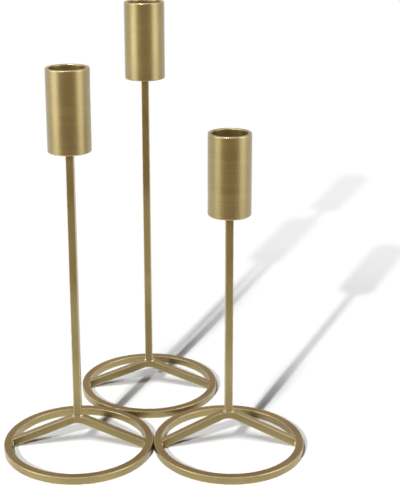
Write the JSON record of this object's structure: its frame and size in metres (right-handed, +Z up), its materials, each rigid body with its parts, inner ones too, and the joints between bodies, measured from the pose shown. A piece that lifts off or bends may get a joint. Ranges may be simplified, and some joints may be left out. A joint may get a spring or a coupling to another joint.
{
  "type": "candlestick set",
  "caption": "Slim taper candlesticks in graded heights: ring base of square bar, a bent cross bar over it, square stem and a cylindrical candle cup, in satin gold.",
  "frame": {"origin": "centre of the set's bounding box, on the table", "axes": "+Z up; +X to the right and +Y away from the viewer, with the tall candlestick at the back"},
  "size_m": [0.1928, 0.1832, 0.2772],
  "materials": {
    "gold_ring": "satin gold lacquer on steel",
    "gold_bar": "satin gold lacquer on steel",
    "gold_stem": "satin gold lacquer on steel",
    "gold_cup": "satin gold lacquer on steel",
    "gold_floor": "satin gold lacquer on steel",
    "gold_weld": "satin gold lacquer on steel"
  },
  "bodies": {
    "tall_candlestick": {"tall_base_ring": "gold_ring", "tall_cross_bar": "gold_bar", "tall_stem": "gold_stem", "tall_cup_tube": "gold_cup", "tall_cup_floor": "gold_floor", "tall_hub_welds": "gold_weld", "tall_ring_welds": "gold_weld", "tall_cup_welds": "gold_weld"},
    "mid_candlestick": {"mid_base_ring": "gold_ring", "mid_cross_bar": "gold_bar", "mid_stem": "gold_stem", "mid_cup_tube": "gold_cup", "mid_cup_floor": "gold_floor", "mid_hub_welds": "gold_weld", "mid_ring_welds": "gold_weld", "mid_cup_welds": "gold_weld"},
    "short_candlestick": {"short_base_ring": "gold_ring", "short_cross_bar": "gold_bar", "short_stem": "gold_stem", "short_cup_tube": "gold_cup", "short_cup_floor": "gold_floor", "short_hub_welds": "gold_weld", "short_ring_welds": "gold_weld", "short_cup_welds": "gold_weld"}
  },
  "joints": [
    {"name": "mid_slide", "type": "slide", "parent": "tall_candlestick", "child": "mid_candlestick", "axis": [-1, 0, 0], "range_m": [0, 0.1]},
    {"name": "short_slide", "type": "slide", "parent": "tall_candlestick", "child": "short_candlestick", "axis": [1, 0, 0], "range_m": [0, 0.1]}
  ]
}
